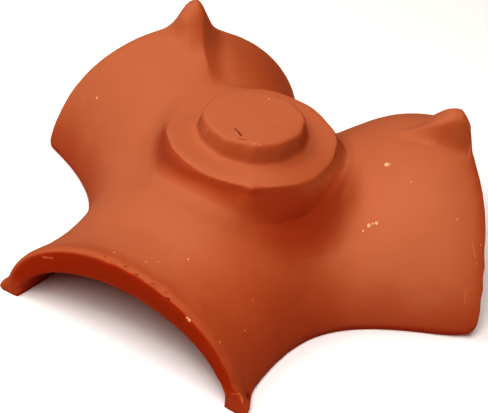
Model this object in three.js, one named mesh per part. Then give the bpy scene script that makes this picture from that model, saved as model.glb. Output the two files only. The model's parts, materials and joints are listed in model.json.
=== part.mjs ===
// Three-way ridge tile of plain fired clay: one hollow shell with three vaulted arms,
// a round flange with a boss on the crown, and a pinched beak over two of the mouths.
// Millimetres and degrees, +Z up. The tile stands on its lower edge.

import * as THREE from 'three';

// Driving dimensions of the crown
const flangeRadius = 75;
const flangeTop = 117.5;
const coveRun = 28;
const coveSharpness = 3;
const bossRadius = 43;
const bossDraft = 15;
const bossHeight = 17.5;
const crispEase = 1.6;

// Driving dimensions of the shell
const wall = 14;
const mouthFace = 9.5;
const mouthEase = 7;
const rimEase = 5;
const lipRun = 32;
const waist = 109;
const flareStart = 85;
const valleyBlend = 7;

// The plain arm, which points to the front. Reach is from the boss axis to the mouth, left
// and right are the half widths of the mouth, and the ridge's heights are its root at the
// flange, its shoulder and its rise at the mouth.
const shoulderReach = 140;
const plainBearing = -90;
const plainReach = 184;
const plainLeft = 118;
const plainRight = 116;
const plainRoot = 91;
const plainShoulder = 77;
const plainRise = 88;
const plainLip = 18;
const plainCollar = 14;
const collarRun = 50;
const collarHalfWidth = 72;

// The beaked arm on the right
const rightBearing = 36;
const rightReach = 191.5;
const rightLeft = 112;
const rightRight = 120.5;
const rightRoot = 89;
const rightShoulder = 130;
const rightRise = 121;
const rightBeak = 27;
const rightLean = 18;
const rightNotch = 4;
const rightFoot = 13;

// The beaked arm on the left
const leftBearing = 144;
const leftReach = 172.5;
const leftLeft = 121;
const leftRight = 131;
const leftRoot = 115;
const leftShoulder = 128;
const leftRise = 128.5;
const leftBeak = 31;
const leftLean = 15;
const leftSlant = 0.26;
const leftTip = -3;
const leftSag = 4.5;

// Driving dimensions shared by the beaks, which lean back from the mouth
const beakLeft = 33;
const beakRight = 28;
const beakRun = 40;
const notchWidth = 30;

// Driving dimensions of the lugs at the plain arm's feet
const lugRadius = 11;
const lugHeights = { left: 15, right: 10 };
const lugBlend = 4;
const lugInset = 4;

// Each arm, with the bearing of its axis, the skew of its mouth, the clay heaped up as a
// collar against the flange, how far its tip lies to the left of the axis, the slant of its
// crown line inwards of the tip, how far the clay sags beside the crown on the right, the
// notch that sets the mouth back at its crown, and the rounding of its right foot
const arms = [
  {
    bearing: plainBearing, reach: plainReach, left: plainLeft, right: plainRight, skew: 0,
    root: plainRoot, shoulder: plainShoulder, rise: plainRise,
    collar: plainCollar, lip: plainLip, beak: 0, lean: 0, tip: 0, slant: 0, sag: 0, notch: 0, foot: 0,
  },
  {
    bearing: rightBearing, reach: rightReach, left: rightLeft, right: rightRight, skew: -0.03,
    root: rightRoot, shoulder: rightShoulder, rise: rightRise,
    collar: 0, lip: 0, beak: rightBeak, lean: rightLean, tip: 0, slant: 0, sag: 0,
    notch: rightNotch, foot: rightFoot,
  },
  {
    bearing: leftBearing, reach: leftReach, left: leftLeft, right: leftRight, skew: 0.075,
    root: leftRoot, shoulder: leftShoulder, rise: leftRise,
    collar: 0, lip: 0, beak: leftBeak, lean: leftLean, tip: leftTip, slant: leftSlant, sag: leftSag,
    notch: 0, foot: 0,
  },
];

// Fineness of the faceted shell
const archSteps = 16;
const valleySteps = 10;
const outerRows = 16;
const coveRows = [0.12, 0.28, 0.5, 0.8];
const innerRows = 10;
const innerCap = 45;
const fineSteps = 240;
const footBand = 26;

const degree = Math.PI / 180;

// Where a plan point lies seen from an arm: s along its axis and y to the left of it
function inArm(arm, x, y) {
  const c = Math.cos(arm.bearing * degree);
  const n = Math.sin(arm.bearing * degree);
  return { s: x * c + y * n, y: y * c - x * n };
}

function fromArm(arm, s, y) {
  const c = Math.cos(arm.bearing * degree);
  const n = Math.sin(arm.bearing * degree);
  return new THREE.Vector2(s * c - y * n, s * n + y * c);
}

// 0 before the start, growing by 1 from the start to the end and going on beyond it
function ramp(value, start, end) {
  return Math.max(0, (value - start) / (end - start));
}

// The larger of two heights, with a fillet of the given size where they are close
function blendMax(a, b, size) {
  const gap = Math.max(size - Math.abs(a - b), 0);
  return Math.max(a, b) + (gap * gap) / (4 * size);
}

// A soft step from 0 to 1
function ease(part) {
  return part * part * (3 - 2 * part);
}

// How far the crown line of an arm lies to the left of its axis
function crownShift(arm, s) {
  const short = arm.reach - arm.lean - Math.max(s, flangeRadius);
  return (arm.tip + arm.slant * Math.max(short, 0)) * Math.min(Math.max(s / flangeRadius, 0), 1);
}

// The half width of an arm on the side of a point that lies y to the left of the crown line
function halfWidthAt(arm, s, y) {
  const flare = ramp(s, flareStart, arm.reach) ** 2;
  const shift = crownShift(arm, s);
  const mouth = y > 0 ? arm.left : arm.right;
  return waist + (mouth - waist) * flare + (y > 0 ? -shift : shift);
}

// A ridge is a smooth line through its root, its shoulder and its rise at the mouth
function ridgeAt(arm, s) {
  const along = Math.min(Math.max(s, flangeRadius), arm.reach);
  const knots = [[flangeRadius, arm.root], [shoulderReach, arm.shoulder], [arm.reach, arm.rise]];
  let height = 0;
  knots.forEach(([knot, level], i) => {
    const weight = knots.reduce((product, [other], k) => {
      return k === i ? product : (product * (along - other)) / (knot - other);
    }, 1);
    height += weight * level;
  });
  return height;
}

// How far the lip hangs below the wall's own inside, near the mouth
function lipAt(arm, s) {
  return arm.lip * ease(Math.min(ramp(s, arm.reach - lipRun, arm.reach), 1));
}

// The three vaults run into each other: the inverse powers of their edge fractions add up.
// The edge fraction is 0 on a crown line and 1 on the tile's lower edge.
function vaultHeight(x, y, depth) {
  let sum = 0;
  let ridge = 0;
  let sag = 0;
  for (const arm of arms) {
    const local = inArm(arm, x, y);
    const aside = local.y - crownShift(arm, local.s);
    const behind = 1.5 * Math.min(local.s, 0);
    const offset = Math.max(Math.hypot(aside, behind), 1e-6);
    const share = ((halfWidthAt(arm, local.s, aside) - depth) / offset) ** valleyBlend;
    const lip = depth > 0 ? lipAt(arm, local.s) : 0;
    sum += share;
    ridge += share * (ridgeAt(arm, local.s) - depth - lip);
    sag += aside < 0 ? share * arm.sag : 0;
  }
  const fraction = Math.min(sum ** (-1 / valleyBlend), 1);
  const slump = (sag / sum) * 4 * fraction * (1 - fraction);
  return Math.max(0, (ridge / sum) * Math.sqrt(1 - fraction ** 2) - slump);
}

// A collar is clay heaped on the crown against the flange
function collarRise(arm, x, y) {
  const local = inArm(arm, x, y);
  const across = Math.abs(local.y) / collarHalfWidth;
  const along = ramp(local.s, flangeRadius, flangeRadius + collarRun);
  if (!arm.collar || local.s <= 0 || across >= 1 || along >= 1) {
    return 0;
  }
  const front = Math.min(local.s / flangeRadius, 1);
  return arm.collar * front * (1 - ease(along)) * Math.cos(across * 90 * degree) ** 2;
}

// A beak is the lip pinched up over the mouth: it rises from the ridge and leans back
function beakRise(arm, x, y) {
  const local = inArm(arm, x, y);
  const aside = local.y - crownShift(arm, local.s);
  const across = Math.abs(aside) / (aside > 0 ? beakLeft : beakRight);
  if (!arm.beak || local.s <= flangeRadius || across >= 1) {
    return 0;
  }
  const tip = arm.reach - arm.lean;
  const rise = ease(Math.min(ramp(local.s, tip - beakRun, tip), 1));
  const fall = Math.max(0, 1 - ramp(local.s, tip, arm.reach) ** 2);
  return arm.beak * rise * fall * Math.cos(across * 90 * degree) ** 2;
}

// A lug is a lump of clay on the outside of each foot of the plain arm
function lugsOf(arm) {
  const s = arm.reach - lugInset;
  const left = { at: fromArm(arm, s, arm.left), height: lugHeights.left };
  const right = { at: fromArm(arm, s, -arm.right), height: lugHeights.right };
  return arm.beak ? [] : [left, right];
}

const lugs = arms.flatMap(lugsOf);

function lugHeightAt(x, y) {
  let height = 0;
  for (const lug of lugs) {
    const part = Math.hypot(x - lug.at.x, y - lug.at.y) / lugRadius;
    height = Math.max(height, lug.height * Math.sqrt(Math.max(0, 1 - part ** 2)));
  }
  return height;
}

// Height of the outside at a plan point, from the flange's edge outwards. A cove falls from
// the flange's edge to the vaults, steep at first.
function outerHeight(x, y) {
  let height = vaultHeight(x, y, 0);
  for (const arm of arms) {
    height += beakRise(arm, x, y) + collarRise(arm, x, y);
  }
  const lug = lugHeightAt(x, y);
  height = lug > 0 ? blendMax(height, lug, Math.min(lugBlend, lug)) : height;
  const out = Math.min(ramp(Math.hypot(x, y), flangeRadius, flangeRadius + coveRun), 1);
  return height + (flangeTop - height) * (1 - out) ** coveSharpness;
}

function innerHeight(x, y) {
  return vaultHeight(x, y, wall);
}

// The distance at which a surface reaches the floor, on a bearing given as a unit vector
function edgeDistance(height, dir) {
  const longest = Math.max(...arms.map((arm) => Math.hypot(arm.reach, arm.left, arm.right)));
  let low = flangeRadius;
  let high = longest + 2 * lugRadius;
  for (let i = 0; i < 50; i += 1) {
    const mid = (low + high) / 2;
    if (height(dir.x * mid, dir.y * mid) > 0) {
      low = mid;
    } else {
      high = mid;
    }
  }
  return low;
}

// Picks count + 1 points on a fine polyline, evenly by length weighted with a density, and
// leaves off a length at its end
function resample(points, count, density, leftOff = 0) {
  const sums = [0];
  for (let i = 1; i < points.length; i += 1) {
    const step = points[i].distanceTo(points[i - 1]);
    sums.push(sums[i - 1] + step * density(i / (points.length - 1), points[i]));
  }
  const picked = [];
  let at = 0;
  for (let i = 0; i <= count; i += 1) {
    const goal = ((sums[sums.length - 1] - leftOff) * i) / count;
    while (at < points.length - 2 && sums[at + 1] < goal) {
      at += 1;
    }
    const part = (goal - sums[at]) / Math.max(sums[at + 1] - sums[at], 1e-9);
    picked.push(points[at].clone().lerp(points[at + 1], Math.min(part, 1)));
  }
  return picked;
}

// Half of a mouth's arch, from the foot on the given side up to the crown. The corner at the
// foot may be rounded off.
function halfArch(arm, side, height, setback) {
  const onMouth = (y, back) => {
    const deep = back + arm.notch * Math.exp(-((y / notchWidth) ** 2));
    const narrow = halfWidthAt(arm, arm.reach - back, side) / halfWidthAt(arm, arm.reach, side);
    return fromArm(arm, arm.reach - deep + arm.skew * y, y * narrow);
  };
  let low = 0;
  let high = arm.left + 2 * lugRadius;
  for (let i = 0; i < 50; i += 1) {
    const mid = (low + high) / 2;
    const plan = onMouth(side * mid, 0);
    if (height(plan.x, plan.y) > 0) {
      low = mid;
    } else {
      high = mid;
    }
  }
  const points = [];
  for (let i = 0; i <= fineSteps; i += 1) {
    const turn = (i / fineSteps) * 90 * degree;
    const y = side * low * Math.cos(turn);
    const first = onMouth(y, setback * Math.sin(turn));
    const foot = side < 0 ? arm.foot : 0;
    const short = Math.max(foot - height(first.x, first.y), 0);
    const round = foot - Math.sqrt(foot ** 2 - short ** 2);
    const plan = onMouth(y, setback * Math.sin(turn) + round);
    points.push(new THREE.Vector3(plan.x, plan.y, i === 0 ? 0 : height(plan.x, plan.y)));
  }
  const atFoot = (point) => Math.exp(-((point.z / footBand) ** 2));
  return resample(points, archSteps, (part, point) => 1 + 1.2 * atFoot(point) + 3 * part ** 8);
}

function unit(angle) {
  return new THREE.Vector2(Math.cos(angle), Math.sin(angle));
}

// The lower edge between the feet of two arms, on the floor
function valleyEdge(from, to, height) {
  const start = Math.atan2(from.y, from.x);
  let turn = Math.atan2(to.y, to.x) - start;
  turn += turn < 0 ? 2 * Math.PI : 0;
  const points = [from.clone()];
  for (let i = 1; i < fineSteps; i += 1) {
    const dir = unit(start + (turn * i) / fineSteps);
    const r = edgeDistance(height, dir);
    points.push(new THREE.Vector3(dir.x * r, dir.y * r, 0));
  }
  points.push(to.clone());
  const near = (part) => Math.exp(-((Math.min(part, 1 - part) / 0.12) ** 2));
  return resample(points, valleySteps, (part) => 1 + near(part));
}

// The whole rim, once round: arch, valley, arch, valley, arch, valley
function rimLoop(height, setback) {
  const halves = arms.map((arm) => ({
    right: halfArch(arm, -1, height, setback),
    left: halfArch(arm, 1, height, setback),
  }));
  return halves.flatMap((half, i) => {
    const next = halves[(i + 1) % halves.length];
    const valley = valleyEdge(half.left[0], next.right[0], height);
    return [...half.right.slice(0, -1), ...half.left.slice(1).reverse(), ...valley.slice(0, -1)];
  });
}

// The bearings of the columns at the crown: evenly spread between the feet, as a rim has
// them, and the crown lines, where these cross the flange's edge
function crownBearings(rim) {
  const spans = arms.flatMap(() => [archSteps, archSteps, valleySteps]);
  const marks = [];
  let first = 0;
  for (const arm of arms) {
    const foot = rim[first];
    const farFoot = rim[first + 2 * archSteps];
    const crown = arm.bearing * degree + Math.asin(crownShift(arm, flangeRadius) / flangeRadius);
    marks.push(Math.atan2(foot.y, foot.x), crown, Math.atan2(farFoot.y, farFoot.x));
    first += 2 * archSteps + valleySteps;
  }
  const bearings = [];
  spans.forEach((span, k) => {
    const turn = (marks[(k + 1) % marks.length] - marks[k] + 4 * Math.PI) % (2 * Math.PI);
    for (let i = 0; i < span; i += 1) {
      bearings.push(marks[k] + (turn * i) / span);
    }
  });
  return bearings;
}

function ring(bearings, radius, height) {
  return bearings.map((angle) => {
    const dir = unit(angle).multiplyScalar(radius);
    return new THREE.Vector3(dir.x, dir.y, height(dir.x, dir.y));
  });
}

// A point part of the way along a line in plan, lifted to the surface
function onSurface(from, to, part, height) {
  const point = from.clone().lerp(to, part);
  point.z = height(point.x, point.y);
  return point;
}

// A column runs straight in plan, from a point of the surface to a point of the rim
function column(from, rim, height, rows, leftOff) {
  const points = [from.clone()];
  for (let i = 1; i < fineSteps; i += 1) {
    points.push(onSurface(from, rim, Math.sin((i / fineSteps) * 90 * degree), height));
  }
  points.push(rim.clone());
  return resample(points, rows, () => 1, leftOff);
}

// Outside, the column has its own rows down the cove
function outerColumn(from, rim) {
  const run = coveRun / Math.hypot(rim.x - from.x, rim.y - from.y);
  const cove = coveRows.map((part) => onSurface(from, rim, part * run, outerHeight));
  const start = cove.pop();
  const rows = outerRows - coveRows.length;
  return [from.clone(), ...cove, ...column(start, rim, outerHeight, rows, rimEase)];
}

function inwards(from, to, distance) {
  return from.clone().lerp(to, distance / from.distanceTo(to));
}

// Rings of the shell, from the middle of the boss over the outside, the rim and the inside.
// The edges of the boss, flange and rim are eased by a small slope.
function shellRings() {
  const bossTop = flangeTop + bossHeight;
  const bossSide = (drop) => bossRadius + drop * Math.tan(bossDraft * degree);
  const outerRim = rimLoop(outerHeight, 0);
  const mouthRim = rimLoop(innerHeight, 0);
  const innerRim = rimLoop(innerHeight, mouthEase);
  const bearings = crownBearings(outerRim);
  const flange = ring(bearings, flangeRadius, () => flangeTop);
  const cap = ring(crownBearings(innerRim), innerCap, innerHeight);
  const outer = outerRim.map((rim, i) => outerColumn(flange[i], rim));
  const inner = innerRim.map((rim, i) => column(cap[i], rim, innerHeight, innerRows, 0));
  const rings = [
    ring(bearings, bossRadius / 2, () => bossTop),
    ring(bearings, bossRadius - crispEase, () => bossTop),
    ring(bearings, bossSide(crispEase), () => bossTop - crispEase),
    ring(bearings, bossSide(bossHeight - crispEase), () => flangeTop + crispEase),
    ring(bearings, bossSide(bossHeight) + crispEase, () => flangeTop),
    ring(bearings, flangeRadius - crispEase, () => flangeTop),
    flange.map((point) => point.clone().setZ(flangeTop - crispEase)),
  ];
  for (let row = 1; row <= outerRows; row += 1) {
    rings.push(outer.map((points) => points[row]));
  }
  for (const depth of [rimEase / 2, mouthFace]) {
    rings.push(outerRim.map((rim, i) => inwards(rim, mouthRim[i], depth)));
  }
  for (let row = innerRows; row >= 0; row -= 1) {
    rings.push(inner.map((points) => points[row]));
  }
  rings.push(ring(bearings, innerCap / 2, innerHeight));
  return rings;
}

// One closed mesh: quads between neighbouring rings, each cut along its shorter diagonal,
// and a fan at each end
function closedShell(rings, topPole, bottomPole) {
  const around = rings[0].length;
  const points = [topPole, ...rings.flat(), bottomPole];
  const last = points.length - 1;
  const faces = [];
  const at = (ring, i) => 1 + ring * around + (i % around);
  for (let i = 0; i < around; i += 1) {
    faces.push(0, at(0, i), at(0, i + 1));
    for (let ring = 0; ring < rings.length - 1; ring += 1) {
      const [a, b, c, d] = [at(ring, i), at(ring + 1, i), at(ring + 1, i + 1), at(ring, i + 1)];
      const straight = points[a].distanceTo(points[c]) <= points[b].distanceTo(points[d]);
      faces.push(...(straight ? [a, b, c, a, c, d] : [a, b, d, b, c, d]));
    }
    faces.push(at(rings.length - 1, i), last, at(rings.length - 1, i + 1));
  }
  const geometry = new THREE.BufferGeometry();
  const positions = points.flatMap((point) => point.toArray());
  geometry.setAttribute('position', new THREE.Float32BufferAttribute(positions, 3));
  geometry.setIndex(faces);
  geometry.computeVertexNormals();
  return geometry;
}

function makeTile() {
  const topPole = new THREE.Vector3(0, 0, flangeTop + bossHeight);
  const bottomPole = new THREE.Vector3(0, 0, innerHeight(0, 0));
  const clay = new THREE.MeshStandardMaterial({ color: 0xc0562f, roughness: 0.85, metalness: 0 });
  const tile = new THREE.Mesh(closedShell(shellRings(), topPole, bottomPole), clay);
  tile.name = 'ridge_junction_tile';
  return tile;
}

const part = new THREE.Group();
part.add(makeTile());

// The frame's origin is under the middle of the tile's overall box
const box = new THREE.Box3().setFromObject(part);
part.position.set(-(box.min.x + box.max.x) / 2, -(box.min.y + box.max.y) / 2, 0);

export default part;
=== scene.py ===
# %% [markdown]
# # A terracotta ridge tile
# Where three ridges of a tiled roof meet, one hollow tile of fired clay covers the joint. It has
# three vaulted arms, a round flange with a boss on its crown to carry a finial, and a pinched
# beak over two of its mouths. This lesson takes the plain solid of that tile, gives it the soft
# edges and the small damage of hand-pressed clay, and lights it like the photograph.

# %% Load the solid
import json
import math

import bpy
import numpy as np
from mathutils import Matrix, Vector


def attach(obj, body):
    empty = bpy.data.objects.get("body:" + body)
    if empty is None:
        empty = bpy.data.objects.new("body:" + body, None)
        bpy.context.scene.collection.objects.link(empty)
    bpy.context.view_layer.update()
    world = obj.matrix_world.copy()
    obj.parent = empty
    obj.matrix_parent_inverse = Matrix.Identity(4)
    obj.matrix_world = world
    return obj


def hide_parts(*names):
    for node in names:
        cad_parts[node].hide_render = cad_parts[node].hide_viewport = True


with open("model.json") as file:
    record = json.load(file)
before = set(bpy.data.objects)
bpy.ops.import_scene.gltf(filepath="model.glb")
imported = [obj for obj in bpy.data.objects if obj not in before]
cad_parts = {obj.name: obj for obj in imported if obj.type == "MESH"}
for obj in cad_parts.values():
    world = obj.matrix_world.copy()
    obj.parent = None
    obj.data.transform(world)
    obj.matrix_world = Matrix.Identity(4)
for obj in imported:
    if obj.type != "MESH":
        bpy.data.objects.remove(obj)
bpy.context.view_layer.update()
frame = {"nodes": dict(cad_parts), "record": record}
solid = frame["nodes"]["ridge_junction_tile"]
seat = next(m for m in frame["record"]["mounts"] if m["name"] == "boss_top")["pos_m"]
mm = 0.001


# %% Small helpers
def only(obj):
    """Selects one object alone and makes it the active one."""
    bpy.ops.object.select_all(action="DESELECT")
    obj.select_set(True)
    bpy.context.view_layer.objects.active = obj


def towards(bearing_degrees, height_degrees):
    """The direction of a place at a bearing round the tile and a height above the floor."""
    turn, rise = math.radians(bearing_degrees), math.radians(height_degrees)
    return Vector((math.sin(turn) * math.cos(rise), -math.cos(turn) * math.cos(rise), math.sin(rise)))


def ease(value, start, end):
    """0 before the start, 1 after the end, and a soft step between them."""
    part = np.clip((value - start) / (end - start), 0, 1)
    return part * part * (3 - 2 * part)


def hump(value, middle, half_width):
    """A soft bell, 1 at the middle."""
    return np.exp(-(((value - middle) / half_width) ** 2))


# %% [markdown]
# ## The camera
# The photograph looks down on the tile from the front right, with a long lens and a slight tilt
# of the horizon. A camera has three axes: right, up and back. They are worked out from the
# bearing and the height of the view, turned by the tilt, and put into a matrix.

# %% Camera
frame_width, frame_height = 488, 413
view_bearing, view_height = 27.87, 35.32
tilt = math.radians(7.82)
distance = 1.2916
focal_pixels = 1479.69
middle_pixel = (245.36, 188.95)

back = towards(view_bearing, view_height)
level = (-back).cross(Vector((0, 0, 1))).normalized()
rising = level.cross(-back)
right = level * math.cos(tilt) + rising * math.sin(tilt)
up = rising * math.cos(tilt) - level * math.sin(tilt)
middle_of_tile = Vector((seat[0], seat[1], 0))
target = middle_of_tile + Vector((0, 0, 60 * mm))

lens = bpy.data.cameras.new("camera")
camera = bpy.data.objects.new("camera", lens)
bpy.context.scene.collection.objects.link(camera)
axes = Matrix((right, up, back)).transposed().to_4x4()
camera.matrix_world = Matrix.Translation(target + back * distance) @ axes
lens.sensor_width = 36
lens.lens = focal_pixels / frame_width * lens.sensor_width
lens.shift_x = (frame_width / 2 - middle_pixel[0]) / frame_width
lens.shift_y = (middle_pixel[1] - frame_height / 2) / frame_width
lens.clip_start, lens.clip_end = 0.05, 20
bpy.context.scene.camera = camera
print("lens", round(lens.lens, 1), "mm, shift", round(lens.shift_x, 4), round(lens.shift_y, 4))

# %% [markdown]
# ## The clay body
# The solid is made of flat triangles. Its copy is merged into one skin, the triangles are joined
# back into the quads of the maker's grid, and a Subdivision modifier rounds them. The edges that
# the maker cut with a knife keep part of their crispness through a crease, and the rings of the
# flange and the boss a little more.

# %% Copy and merge
merge_distance = 0.02 * mm
sharp_angle = math.radians(32)
knife_crease, ring_crease = 0.5, 0.35
ring_inner, ring_outer, ring_above = 35 * mm, 76 * mm, 115 * mm

clay = bpy.data.objects.new("clay_tile", solid.data.copy())
bpy.context.scene.collection.objects.link(clay)
only(clay)
bpy.ops.mesh.customdata_custom_splitnormals_clear()
bpy.ops.object.mode_set(mode="EDIT")
bpy.ops.mesh.select_all(action="SELECT")
bpy.ops.mesh.remove_doubles(threshold=merge_distance)
bpy.ops.mesh.mark_sharp(clear=True)
bpy.ops.mesh.tris_convert_to_quads(face_threshold=math.pi, shape_threshold=math.pi)
bpy.ops.mesh.select_all(action="DESELECT")
bpy.ops.mesh.select_mode(type="EDGE")
bpy.ops.mesh.edges_select_sharp(sharpness=sharp_angle)
bpy.ops.transform.edge_crease(value=knife_crease)
bpy.ops.mesh.select_all(action="DESELECT")
bpy.ops.object.mode_set(mode="OBJECT")
for edge in clay.data.edges:
    ends = [clay.data.vertices[v].co - middle_of_tile for v in edge.vertices]
    reach = [end.xy.length for end in ends]
    around = abs(reach[0] - reach[1]) < 0.1 * mm and ring_inner < min(reach) and max(reach) < ring_outer
    edge.select = around and min(end.z for end in ends) > ring_above
bpy.ops.object.mode_set(mode="EDIT")
bpy.ops.transform.edge_crease(value=ring_crease)
bpy.ops.mesh.select_mode(type="VERT")
bpy.ops.object.mode_set(mode="OBJECT")
print("merged", len(clay.data.vertices), "vertices", len(clay.data.polygons), "faces")

# %% Round it
smooth = clay.modifiers.new("rounded", "SUBSURF")
smooth.levels = smooth.render_levels = 2
bpy.ops.object.modifier_apply(modifier=smooth.name)
bpy.ops.object.shade_smooth()
print("rounded", len(clay.data.polygons), "faces")

# %% [markdown]
# ## Working the clay by hand
# From here the skin is pushed like wet clay: its points are read as a table, moved by soft
# falloffs, and written back. Each arm has its own coordinates, how far a point lies along the
# arm and how far to the left of its axis, both in millimetres from the axis of the boss.

# %% Reading and writing the skin
arm_bearings = {"plain": -90, "right": 36, "left": 144}
middle_mm = np.array([seat[0], seat[1], 0]) / mm
least_weight = 0.02


def read_skin():
    """The points of the skin in millimetres from the axis of the boss, and their normals."""
    count = len(clay.data.vertices)
    points = np.empty(count * 3)
    normals = np.empty(count * 3)
    clay.data.vertices.foreach_get("co", points)
    clay.data.vertices.foreach_get("normal", normals)
    points = points.reshape(-1, 3) / mm - middle_mm
    return points, normals.reshape(-1, 3)


def write_skin(points):
    """Puts moved points back on the skin."""
    placed = (points + middle_mm) * mm
    clay.data.vertices.foreach_set("co", placed.ravel())
    clay.data.update()


def in_arm(points, arm):
    """How far points lie along an arm and to the left of its axis."""
    a = math.radians(arm_bearings[arm])
    along = points[:, 0] * math.cos(a) + points[:, 1] * math.sin(a)
    aside = -points[:, 0] * math.sin(a) + points[:, 1] * math.cos(a)
    return along, aside


def outer_skin(normals):
    """1 where the skin looks up, 0 on the cut faces and inside the vaults."""
    return ease(normals[:, 2], 0.02, 0.2)


def paint(name, weights):
    """A vertex group of the points whose weight is above the least one."""
    group = clay.vertex_groups.new(name=name)
    for index in np.flatnonzero(weights > least_weight):
        group.add([int(index)], float(min(weights[index], 1)), "REPLACE")
    return group


def rub(group, rounds):
    """Smooths the points of a group, as a wet finger does."""
    finger = clay.modifiers.new("rub_" + group.name, "SMOOTH")
    finger.factor = 0.5
    finger.iterations = rounds
    finger.vertex_group = group.name
    bpy.ops.object.modifier_apply(modifier=finger.name)


skin_points, skin_normals = read_skin()
print("skin spans", np.round(skin_points.min(0), 1), np.round(skin_points.max(0), 1))

# %% [markdown]
# ### The pinched crown lines
# The maker drew each beak up between finger and thumb and dragged the pinch back towards the
# flange. It left an arris: a gentle slope on one side, and a steep hollow one on the other. A
# thumb has also pressed a shallow dip beside the left beak.

# %% Arrises of the two beaks
arrises = {
    "left": {
        "along": (76, 90, 112, 130, 143, 152, 160, 167),
        "aside": (6, 5, 2.5, -0.5, -4, -3.5, -3, -3),
        "lift": (0, 2.6, 4.6, 6.2, 6.0, 4.5, 2.0, 0),
        "gentle": 28, "steep": 15, "scoop": 2.6,
    },
    "right": {
        "along": (122, 132, 142, 156, 165, 174, 184),
        "aside": (4, 0, -4.5, -10.5, -11.5, -11.5, -9),
        "lift": (0, 2.4, 4.6, 6.2, 6.6, 6.4, 5.0),
        "gentle": 14, "steep": 8, "scoop": 3.4,
    },
}


def raise_arris(points, normals, arm, line):
    """Lifts an arris along a line over an arm and scoops a hollow beside its steep side."""
    along, aside = in_arm(points, arm)
    lift = np.interp(along, line["along"], line["lift"], left=0, right=0)
    off = aside - np.interp(along, line["along"], line["aside"])
    gentle = np.clip(1 - off / line["gentle"], 0, 1) ** 2
    steep = np.clip(1 + off / line["steep"], 0, 1) ** 2
    shape = np.where(off > 0, gentle, steep)
    scoop = hump(off, -1.1 * line["steep"], 0.7 * line["steep"]) * line["scoop"] / max(line["lift"])
    points[:, 2] += outer_skin(normals) * lift * (shape - scoop)


for arm_name, arris in arrises.items():
    raise_arris(skin_points, skin_normals, arm_name, arris)
thumb_depth = 2.6
along_left, aside_left = in_arm(skin_points, "left")
thumb = hump(along_left, 140, 16) * hump(aside_left, 20, 6) * outer_skin(skin_normals)
skin_points[:, 2] -= thumb_depth * thumb
write_skin(skin_points)
print("arrises on", list(arrises))

# %% [markdown]
# ### The hand-cut flange and boss
# Both discs were trimmed with a knife, so their edges wander by a few millimetres. In front the
# knife cut back the wall under the flange, and towards the right arm clay fills the corner beside
# it. On the side of the left arm a wet finger smeared the flange's edge into the vault.

# %% Wandering edges
flange_wander = (
    (-180, 0.5), (-140, -0.9), (-120, -1.5), (-98, 0), (-79, 1.6), (-67, 1.5), (-62, 4.4),
    (-57, 4.6), (-52, 1.7), (-33, 2.6), (-13, 1), (0, -1.3), (16, -2.5), (39, -1),
    (63, -1.9), (78, 0.2), (103, 1.2), (125, 2), (180, 0.5),
)
boss_wander = (
    (-180, 0.6), (-148, 0.6), (-120, -0.7), (-99, -0.4), (-62, -0.8), (-37, -1.3), (-17, -2),
    (0, -1.2), (24, -1.1), (41, 0.5), (100, 0), (180, 0.6),
)


def polar(points):
    """The distance of points from the axis of the boss and their bearings round it."""
    return np.hypot(points[:, 0], points[:, 1]), np.degrees(np.arctan2(points[:, 1], points[:, 0]))


def wander(points, knots, radius, spread, above):
    """Moves a round edge in or out by the amounts given for bearings round the boss."""
    radii, bearings = polar(points)
    knot_bearings = [knot[0] for knot in knots]
    knot_shifts = [knot[1] for knot in knots]
    sweep = [np.interp(bearings + turn, knot_bearings, knot_shifts) for turn in (-7, -3, 0, 3, 7)]
    shift = sum(sweep) / len(sweep)
    long_wave = np.sin(np.radians(11 * bearings))
    short_wave = np.sin(np.radians(23 * bearings + 50))
    shift += 0.35 * long_wave + 0.12 * short_wave
    amount = shift * hump(radii, radius, spread) * (points[:, 2] > above)
    points[:, :2] += points[:, :2] * (amount / np.maximum(radii, 1))[:, None]


skin_points, skin_normals = read_skin()
wander(skin_points, boss_wander, radius=45, spread=5, above=116)
wander(skin_points, flange_wander, radius=76, spread=8, above=92)
radii, bearings = polar(skin_points)
bearings = bearings % 360
smeared_side = ease(bearings, 112, 135) * (1 - ease(bearings, 186, 222))
print("edges moved at", len(boss_wander) + len(flange_wander), "bearings")

# %% The wall under the flange
knife_depth = 5.0
fill_share, fill_top = 0.6, 115.5
under_edge = ease(radii, 75.4, 78.6) * (1 - ease(radii, 79, 93)) * (skin_points[:, 2] > 50)
front_window = 0.2 + 0.8 * ease(bearings, 200, 222) * (1 - ease(bearings, 325, 355))
under_edge *= outer_skin(skin_normals) * (1 - smeared_side) * front_window
skin_points[:, 2] -= knife_depth * under_edge
right_side = hump((bearings + 168) % 360 - 180, 0, 27)
fill = (radii > 60) * (1 - ease(radii, 84, 112)) * right_side * outer_skin(skin_normals)
gap = np.clip(fill_top - skin_points[:, 2], 0, 30) * (skin_points[:, 2] > 60)
skin_points[:, 2] += fill_share * fill * gap
write_skin(skin_points)
print("wall under the flange cut back at", int((under_edge > 0.5).sum()), "points")

# %% Smeared edge
soft = smeared_side * hump(radii, 79, 15)
soft *= outer_skin(skin_normals) * (skin_points[:, 2] > 60)
rub(paint("smeared", soft), rounds=150)
print("smeared", int((soft > least_weight).sum()), "points")

# %% [markdown]
# ### Worn rim and feet
# Years of handling have rounded the outer edge of the plain mouth, its two lugs and the corner
# of the right arm's foot.

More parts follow.
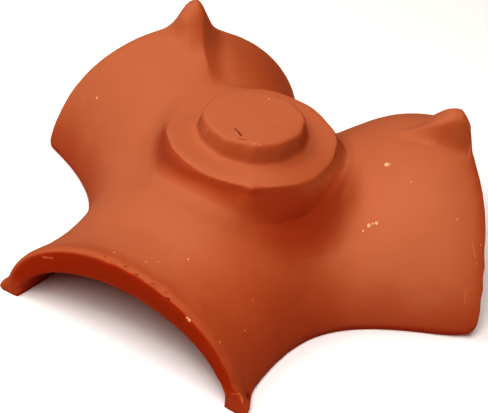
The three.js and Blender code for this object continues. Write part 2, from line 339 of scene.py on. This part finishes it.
# %% Worn edges
near_mouth = 168
foot_spot, foot_reach = np.array((219, 14, 4)), 14
skin_points, skin_normals = read_skin()
along_plain, aside_plain = in_arm(skin_points, "plain")
outward = np.stack([aside_plain, skin_points[:, 2]], 1)
outward /= np.maximum(np.linalg.norm(outward, axis=1), 1)[:, None]
to_side = skin_normals[:, 0] * outward[:, 0] + skin_normals[:, 2] * outward[:, 1]
rim = hump(-skin_normals[:, 1], 0.65, 0.5) * (to_side > 0.05) * (along_plain > near_mouth)
low = (1 - ease(skin_points[:, 2], 12, 24)) * ease(skin_points[:, 2], 0, 5)
lug = (along_plain > near_mouth) * low * 0.25
foot_corner = hump(np.linalg.norm(skin_points - foot_spot, axis=1), 0, foot_reach)
wear = np.maximum.reduce([rim, lug, foot_corner])
rub(paint("worn", wear), rounds=90)
print("worn", int((wear > least_weight).sum()), "points")

# %% [markdown]
# ### Hand-made waviness
# Pressed clay is never quite even. Two cloudy textures push the skin in and out along its
# normals, broad and shallow first, then finer. The feet keep still, so that the tile still
# stands flat. The textures are read point by point, so that each run gives the same skin.

# %% Waves in the clay
skin_points, skin_normals = read_skin()
off_floor = ease(skin_points[:, 2], 2, 16)
for name, size, depth in (("broad", 0.055, 1.1), ("fine", 0.016, 0.35)):
    clouds = bpy.data.textures.new(name + "_clouds", "CLOUDS")
    clouds.noise_scale = size
    clouds.noise_depth = 1
    skin_points, skin_normals = read_skin()
    cloud = np.array([clouds.evaluate(Vector(point))[3] for point in (skin_points + middle_mm) * mm])
    skin_points += skin_normals * (depth * (cloud - 0.5) * off_floor)[:, None]
    write_skin(skin_points)
    print(name, "waves", depth, "mm")

# %% [markdown]
# ### Knocks and chips
# The rim of the plain arm is the most worn place: nicks along its outer edge, a swollen patch
# where clay was dragged, and dimpled lugs at the feet. Each is a soft dent or bump at a place,
# given in millimetres with its reach and its push outwards.

# %% Dents and bumps
dents = (
    ((-15, -183.5, 85), 3.0, -1.2), ((4.5, -183.6, 85.5), 3.2, -1.3), ((21, -184, 84), 2.8, -1.1),
    ((34, -181.5, 82.4), 4.0, -1.9), ((40, -183, 79), 2.6, -1.4), ((66, -183.5, 68), 3.4, -1.4),
    ((-60, -183.5, 74), 3.0, -1.1), ((-84, -184, 62), 4.0, -1.2), ((63, -167, 68), 8.0, 1.3),
    ((96, -183, 46), 3.5, -1.2), ((110, -182, 27), 4.0, -1.4), ((118, -181, 14), 3.2, 1.3),
    ((-124, -180, 9), 3.4, -1.5), ((-119, -181, 13), 3.0, 1.2), ((-25, -37, 131), 2.2, -0.9),
    ((-11, 1, 135), 4.0, -0.5), ((17.6, 1.7, 135), 4.0, -0.5), ((9, -36, 134.5), 2.4, -0.5),
    ((20, -36.5, 134), 2.2, -0.4), ((29, -31, 134), 2.4, -0.4), ((211, 21, 52), 3.5, -1.0),
    ((41, -65.5, 115.5), 5.0, 2.4), ((-127, 81, 149), 12.0, 3.0), ((-129, 88, 155), 7.0, 1.2),
)
skin_points, skin_normals = read_skin()
for place, reach, push in dents:
    near = np.exp(-(((skin_points - np.array(place)) ** 2).sum(1)) / reach**2)
    skin_points += skin_normals * (push * near)[:, None]
write_skin(skin_points)
print("knocks", len(dents))

# %% [markdown]
# ## Floor and light
# The photograph was lit softly from above and from the front left, on a pale ground. Four white
# square lamps stand over the tile from front right to back left. A low warm one behind it on the
# right reddens the far flank. The world adds very little, so the hollows stay dark.

# %% Floor
bpy.ops.object.select_all(action="DESELECT")
bpy.ops.mesh.primitive_plane_add(size=8, location=(0, 0, 0))
floor = bpy.context.active_object
floor.name = "floor"
paper = bpy.data.materials.new("pale_floor")
paper.use_nodes = True
paper_skin = paper.node_tree.nodes["Principled BSDF"]
paper_skin.inputs["Base Color"].default_value = (0.86, 0.85, 0.84, 1)
paper_skin.inputs["Roughness"].default_value = 0.9
floor.data.materials.append(paper)

# %% Lamps
white, warm = (1.0, 1.0, 1.0), (1.0, 0.74, 0.58)
lamp_distance, lamp_size = 2.0, 1.0
lamps = (
    ("overhead_light", 30, 72, 12.8, white),
    ("front_light", 15, 48, 15.8, white),
    ("left_light", -62, 45, 8.8, white),
    ("back_left_light", -110, 50, 6, white),
    ("back_right_light", 146, 18, 9, warm),
)
for name, lamp_bearing, lamp_height, power, tone in lamps:
    side = towards(lamp_bearing, lamp_height)
    bpy.ops.object.light_add(type="AREA", location=target + side * lamp_distance)
    lamp = bpy.context.active_object
    lamp.name = name
    lamp.rotation_euler = side.to_track_quat("Z", "Y").to_euler()
    lamp.data.size = lamp_size
    lamp.data.energy = power
    lamp.data.color = tone
world = bpy.data.worlds.new("studio")
bpy.context.scene.world = world
world.use_nodes = True
sky = world.node_tree.nodes["Background"]
sky.inputs["Color"].default_value = (1.0, 0.86, 0.78, 1)
sky.inputs["Strength"].default_value = 0.02
bpy.context.scene.view_settings.view_transform = "Standard"
bpy.context.scene.view_settings.look = "Very High Contrast"

# %% [markdown]
# ## Fired clay
# Unglazed clay is matte and never one colour. Over its drift of colour lie painted light, a paler
# orange on the faces turned towards the lamps, and painted shade, a deeper red low down, under the
# flange, on the face of the plain mouth and inside the vaults. The material is made of cloudy
# noise for the drift of colour, of masks that follow the object's own coordinates, and of small
# marks placed at their spots.

# %% Node helpers
terracotta = bpy.data.materials.new("fired_clay")
terracotta.use_nodes = True
nodes, links = terracotta.node_tree.nodes, terracotta.node_tree.links
skin = nodes["Principled BSDF"]


def node(kind, **settings):
    """A new shader node with its settings."""
    made = nodes.new(kind)
    for key, value in settings.items():
        setattr(made, key, value)
    return made


def plug(value, socket):
    """Links an output to a socket, or writes a plain value in it."""
    if isinstance(value, bpy.types.NodeSocket):
        links.new(value, socket)
    else:
        socket.default_value = value


def calc(operation, *values, clamp=False):
    """A Math node."""
    made = node("ShaderNodeMath", operation=operation, use_clamp=clamp)
    for socket, value in zip(made.inputs, values):
        plug(value, socket)
    return made.outputs[0]


def vector(operation, *values):
    """A Vector Math node."""
    made = node("ShaderNodeVectorMath", operation=operation)
    sockets = [s for s in made.inputs if s.enabled]
    for socket, value in zip(sockets, values):
        plug(value, socket)
    return made.outputs["Value" if operation in ("DISTANCE", "LENGTH", "DOT_PRODUCT") else "Vector"]


def step(value, start, end):
    """0 before the start and 1 after the end, also when the end is the smaller."""
    made = node("ShaderNodeMapRange", interpolation_type="SMOOTHSTEP")
    low, high = min(start, end), max(start, end)
    plug(value, made.inputs["Value"])
    plug(low, made.inputs["From Min"])
    plug(high, made.inputs["From Max"])
    plug(0.0 if start < end else 1.0, made.inputs["To Min"])
    plug(1.0 if start < end else 0.0, made.inputs["To Max"])
    return made.outputs["Result"]


def clouds_of(where, scale, detail=2.0, roughness=0.5):
    """A cloudy noise, about 0.5 on average."""
    made = node("ShaderNodeTexNoise")
    plug(where, made.inputs["Vector"])
    plug(scale, made.inputs["Scale"])
    plug(detail, made.inputs["Detail"])
    plug(roughness, made.inputs["Roughness"])
    return made.outputs["Fac"]


def blend(amount, under, over):
    """Mixes two colours."""
    made = node("ShaderNodeMix", data_type="RGBA")
    plug(amount, made.inputs["Factor"])
    for value, socket in ((under, made.inputs[6]), (over, made.inputs[7])):
        plug(value if isinstance(value, bpy.types.NodeSocket) else (*value, 1), socket)
    return made.outputs[2]


def tint(mask, share, under, over):
    """Lays a share of a colour over another where a mask is."""
    return blend(calc("MULTIPLY", mask, share), under, over)


def near_spot(where, spot, start, end):
    """A round mask: 0 at the start and 1 at the end, both in millimetres from a spot."""
    return step(vector("DISTANCE", where, spot), start, end)


def most(values):
    """The largest of several masks."""
    total = values[0]
    for value in values[1:]:
        total = calc("MAXIMUM", total, value)
    return total


print("helpers ready")

# %% Places on the clay
object_place = node("ShaderNodeTexCoord").outputs["Object"]
from_boss = vector("SUBTRACT", object_place, (seat[0], seat[1], 0))
place = vector("MULTIPLY", from_boss, (1000, 1000, 1000))
split = node("ShaderNodeSeparateXYZ")
plug(place, split.inputs[0])
east, north, height_mm = split.outputs
grain = node("ShaderNodeTexNoise")
plug(place, grain.inputs["Vector"])
plug(0.9, grain.inputs["Scale"])
plug(1.0, grain.inputs["Detail"])
shake = vector("MULTIPLY", vector("SUBTRACT", grain.outputs["Color"], (0.5, 0.5, 0.5)), (2.2, 2.2, 2.2))
shaken_place = vector("ADD", place, shake)
surface_normal = node("ShaderNodeNewGeometry").outputs["Normal"]
facing = node("ShaderNodeSeparateXYZ")
plug(surface_normal, facing.inputs[0])
_, facing_north, facing_up = facing.outputs
flat_place = vector("MULTIPLY", place, (1, 1, 0))
from_axis = vector("LENGTH", flat_place)
print("coordinates in millimetres from the axis of the boss")

# %% [markdown]
# ### Colour of the clay
# Three clouds of different sizes drift between a pale orange, a middle orange and a brick red.
# Broad patches then set the tone of the places where the photograph is paler or redder than the
# drift and the lamps make it. They are painted light and painted shade, not the colour of the clay.

# %% Drifting colours
pale = (0.430, 0.140, 0.060)
orange = (0.410, 0.126, 0.052)
brick = (0.392, 0.115, 0.046)
# The colours below lay painted shade (deep, brown and the darker reds) and painted light (the two paler
# ones) over the drift; deep and the rim red also darken the ends of the arms.
deep = (0.355, 0.072, 0.021)
mouth_shade_red = (0.345, 0.052, 0.012)
painted_light_orange = (0.440, 0.166, 0.087)
painted_light_flank = (0.52, 0.205, 0.112)
brown = (0.36, 0.105, 0.042)
wall_shade_red = (0.33, 0.060, 0.016)
groove_shade_red = (0.33, 0.052, 0.013)
rim_red = (0.365, 0.092, 0.033)
broad_drift = clouds_of(place, 0.011, 2.0)
middle_drift = clouds_of(place, 0.035, 2.0, 0.45)
fine_drift = clouds_of(place, 0.5, 3.0, 0.65)
colour = blend(step(broad_drift, 0.25, 0.75), brick, orange)
colour = tint(step(middle_drift, 0.35, 0.8), 0.6, colour, pale)
colour = tint(step(fine_drift, 0.45, 0.8), 0.12, colour, brick)
print("clay colours", pale, orange, brick)

# %% Broad patches of painted light and shade
# Faces turned up and to the left, towards the lamps, get a paler orange: painted light.
up_and_left = (-0.35, -0.30, 0.88)
lamp_side_light = step(vector("DOT_PRODUCT", surface_normal, up_and_left), 0.42, 0.92)
colour = tint(lamp_side_light, 0.75, colour, painted_light_orange)
# The corner in front between the plain and the right arm turns a deeper red: painted shade.
front_corner_shade = near_spot(flat_place, (118, -125, 0), 112, 35)
colour = tint(front_corner_shade, 0.45, colour, deep)
# The front flank of the right arm is paler: painted light.
right_flank_light = near_spot(flat_place, (163, -2, 0), 80, 15)
colour = tint(right_flank_light, 0.55, colour, painted_light_flank)
# The right front of the flange is browner: painted shade.
flange_right_shade = near_spot(flat_place, (76, -16, 0), 62, 15)
flange_right_shade = calc("MULTIPLY", flange_right_shade, step(height_mm, 110, 116))
colour = tint(flange_right_shade, 0.60, colour, brown)
# Towards the floor the clay turns a deeper red: painted shade.
ragged_height = calc("ADD", height_mm, calc("MULTIPLY", middle_drift, 25))
colour = tint(step(ragged_height, 74, 16), 0.65, colour, deep)
print("patches over", pale)

# %% Painted shade on the wall and in the groove under the flange
# The wall under the front of the flange is painted a deep red: painted shade.
front_side = step(north, -22, -48)
wall_shade_band = calc("MULTIPLY", step(from_axis, 70, 71), step(from_axis, 87, 77.5))
wall_shade_band = calc("MULTIPLY", calc("MULTIPLY", wall_shade_band, step(height_mm, 117.3, 115.8)), front_side)
colour = tint(wall_shade_band, 0.7, colour, wall_shade_red)
# The groove at the right front of the flange is painted a deep red: painted shade.
front_right = near_spot(flat_place, (72, -34, 0), 70, 10)
groove = calc("MULTIPLY", step(from_axis, 76, 82), step(from_axis, 118, 88))
colour = tint(groove, calc("MULTIPLY", front_right, 0.8), colour, groove_shade_red)
print("deep red", wall_shade_red, "and", groove_shade_red)

# %% The rims of the arms
plain_rim, right_rim = (-152, -170), (181, 190)
ragged_north = calc("ADD", north, calc("MULTIPLY", middle_drift, 14))
colour = tint(step(ragged_north, *plain_rim), 0.45, colour, rim_red)
# The far flank of the left arm turns a deeper red: painted shade.
left_flank_shade = near_spot(place, (-46, 142, 70), 66, 0)
colour = tint(left_flank_shade, 0.4, colour, deep)
right_arm = math.radians(arm_bearings["right"])
along_right = vector("DOT_PRODUCT", place, (math.cos(right_arm), math.sin(right_arm), 0))
colour = tint(step(along_right, *right_rim), 0.35, colour, deep)
print("rims darker from", plain_rim[0], "and", right_rim[0], "mm")

# %% Painted shade on the cut face of the mouth and inside
arch_half_width, arch_height = 118, 88
# The face of the plain mouth is painted a deep red, less so on its outer band and by the lugs: painted
# shade.
cut_face = calc("MULTIPLY", step(north, -174, -180), step(facing_north, -0.50, -0.93))
above_lugs = calc("ADD", 0.35, calc("MULTIPLY", step(height_mm, 9, 24), 0.65))
arch_scale = (1 / arch_half_width, 0, 1 / arch_height)
arch_part = vector("LENGTH", vector("MULTIPLY", place, arch_scale))
outer_band = calc("MULTIPLY", step(arch_part, 0.92, 0.955), step(east, 10, -70))
cut_share = calc("SUBTRACT", above_lugs, calc("MULTIPLY", outer_band, 0.65))
cut_face = calc("MULTIPLY", cut_face, cut_share, clamp=True)
# Faces that look down, inside the vaults, get the same red: painted shade.
inside = step(facing_up, 0.05, -0.25)
colour = blend(most([cut_face, inside]), colour, mouth_shade_red)
print("mouth", mouth_shade_red)

# %% [markdown]
# ### Specks, chips and pale lines
# Pale grit shows where the skin broke: small dots all over, larger flakes at a few spots. Hair
# cracks run along the rims and on the boss. Pale lines on the chipped edges of the boss, the rims
# and the right foot of the plain arm are partly scratch marks and partly painted highlight, where
# the worn edges catch the light. A dot is a distance from a place and a crack is a distance from
# a line. Both are shaken a little, so that their edges are ragged.

# %% Pale specks
specks = (
    (-170.5, 9.9, 76.1, 1.7), (108.3, 41.5, 114.8, 2.6), (110.4, 42.3, 114.9, 1.6),
    (120.6, -1.9, 81.4, 2.3), (125.6, 1.5, 84.4, 1.9), (118.4, -6.2, 76.9, 1.3),
    (123.0, 0.4, 83.0, 1.2), (64.0, -184.0, 67.0, 2.5), (62.4, -184.0, 68.4, 1.8),
    (-19.1, -168.5, 81.1, 1.1), (6.1, -160.2, 79.9, 0.9), (12.0, -152.0, 77.9, 0.8),
    (26.7, -130.3, 74.5, 0.9), (89.5, -175.9, 54.3, 1.0), (104.3, -180.0, 39.2, 1.0),
    (181.6, 36.4, 96.4, 0.9), (135.0, -35.1, 29.2, 1.1), (58.2, -93.7, 70.6, 0.8),
    (92.0, -141.8, 44.2, 1.0), (111.2, -120.0, 5.3, 1.2), (81.5, -116.1, 52.7, 0.7),
    (206.3, 38.7, 80.4, 1.1), (-187.6, 12.6, 67.1, 0.8), (-110.3, -17.8, 81.9, 1.0),
    (-106.9, 93.4, 135.6, 0.9), (135.6, 35.3, 113.1, 0.8), (-6.5, 32.7, 135.0, 1.0),
    (-50.3, 134.0, 82.9, 0.9),
)


def dot(spot):
    """A ragged pale dot, from its place and radius."""
    x, y, z, radius = spot
    away = vector("DISTANCE", shaken_place, (x, y, z))
    return step(away, radius * 0.95, radius * 0.45)


pale_specks = most([dot(spot) for spot in specks])
print(len(specks), "specks")

# %% Hair cracks, and pale lines that are partly painted highlight
dark_cracks = (
    ((-3, -26.5, 135), (6, -31, 135), 0.65), ((8, -36, 135), (12.5, -34.7, 135), 0.65),
    ((-22, -183, 85), (-18, -180, 84), 0.35), ((-1, -183, 86), (3, -179, 84.6), 0.4),
    ((9, -184, 85), (14, -182, 84), 0.4), ((26, -183, 83), (31, -180, 82.8), 0.5),
    ((36, -182.5, 81), (41, -180, 80), 0.5), ((41, -184, 78), (45, -183, 77), 0.5),
    ((-64, -184, 72), (-61, -181, 74), 0.6),
)
# Pale lines on chipped edges: partly scratch marks, partly painted highlight where worn edges catch the
# light.
pale_scratch_and_highlight_lines = (
    ((10, -37, 134.6), (30, -31, 134.6), 0.5), ((-97, -184, 50), (-72, -184, 66), 1.3),
    ((-76, -184, 56), (-68, -184, 59), 1.2), ((199, 34.4, 82.3), (208, 30.3, 70.8), 0.4),
    ((208, 30.3, 70.8), (212.8, 25.3, 59.5), 0.4), ((212.8, 25.3, 59.5), (211, 20.1, 52.3), 0.4),
    ((211, 20.1, 52.3), (209.7, 16.5, 46.1), 0.4), ((209.7, 16.5, 46.1), (212.2, 14.2, 36.1), 0.4),
    ((111.7, -181.5, 26.1), (116.1, -180.5, 18.4), 0.7),
    ((116.1, -180.5, 18.4), (119.6, -182.7, 13.3), 0.7),
    ((109.9, -184, 18), (115.7, -180.8, 19.1), 0.6), ((-26.5, -36, 132), (-23.5, -37.5, 130), 0.8),
)


def stroke(line):
    """A thin ragged line between two places."""
    start, end, half_width = line
    run = Vector(end) - Vector(start)
    rest = vector("SUBTRACT", shaken_place, start)
    part = calc("DIVIDE", vector("DOT_PRODUCT", rest, tuple(run)), run.length_squared, clamp=True)
    spread = node("ShaderNodeVectorMath", operation="SCALE")
    plug(tuple(run), spread.inputs[0])
    plug(part, spread.inputs["Scale"])
    away = vector("DISTANCE", rest, spread.outputs["Vector"])
    return step(away, half_width * 1.6, half_width * 0.6)


cracks = most([stroke(line) for line in dark_cracks])
scratch_and_highlight_mask = most([stroke(line) for line in pale_scratch_and_highlight_lines])
scratch_and_highlight_pink, crack_brown, grit = (0.62, 0.22, 0.11), (0.11, 0.012, 0.003), (0.80, 0.45, 0.29)
# The pale lines: partly scratch marks, partly painted highlight.
colour = tint(scratch_and_highlight_mask, 0.6, colour, scratch_and_highlight_pink)
colour = tint(cracks, 0.85, colour, crack_brown)
colour = tint(pale_specks, 0.9, colour, grit)
plug(colour, skin.inputs["Base Color"])
print(len(dark_cracks), "cracks", len(pale_scratch_and_highlight_lines), "scratch_and_highlight_mask")

# %% [markdown]
# ### Grain and sheen
# A Bump node gives the fine grain of the clay, the pressed dimples and the depth of the cracks.
# The clay is matte. The wiped face of the mouth is a little smoother, but mirrors less.

# %% Bump and roughness
pores = clouds_of(place, 1.6, 4.0, 0.6)
dimples = clouds_of(place, 0.14, 2.0, 0.5)
relief = calc("ADD", calc("MULTIPLY", pores, 0.10), calc("MULTIPLY", dimples, 0.55))
relief = calc("SUBTRACT", relief, calc("MULTIPLY", cracks, 0.7))
relief = calc("ADD", relief, calc("MULTIPLY", pale_specks, 0.15))
bump = node("ShaderNodeBump")
plug(0.55, bump.inputs["Strength"])
plug(mm, bump.inputs["Distance"])
plug(relief, bump.inputs["Height"])
plug(bump.outputs["Normal"], skin.inputs["Normal"])
clay_roughness = calc("ADD", 0.80, calc("MULTIPLY", middle_drift, 0.12))
roughness = calc("SUBTRACT", clay_roughness, calc("MULTIPLY", cut_face, 0.12))
plug(roughness, skin.inputs["Roughness"])
sheen = calc("SUBTRACT", 0.25, calc("MULTIPLY", cut_face, 0.22))
plug(sheen, skin.inputs["Specular IOR Level"])
clay.data.materials.clear()
clay.data.materials.append(terracotta)
print("material nodes", len(nodes))

# %% Hand over
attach(clay, "root")
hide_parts("ridge_junction_tile")
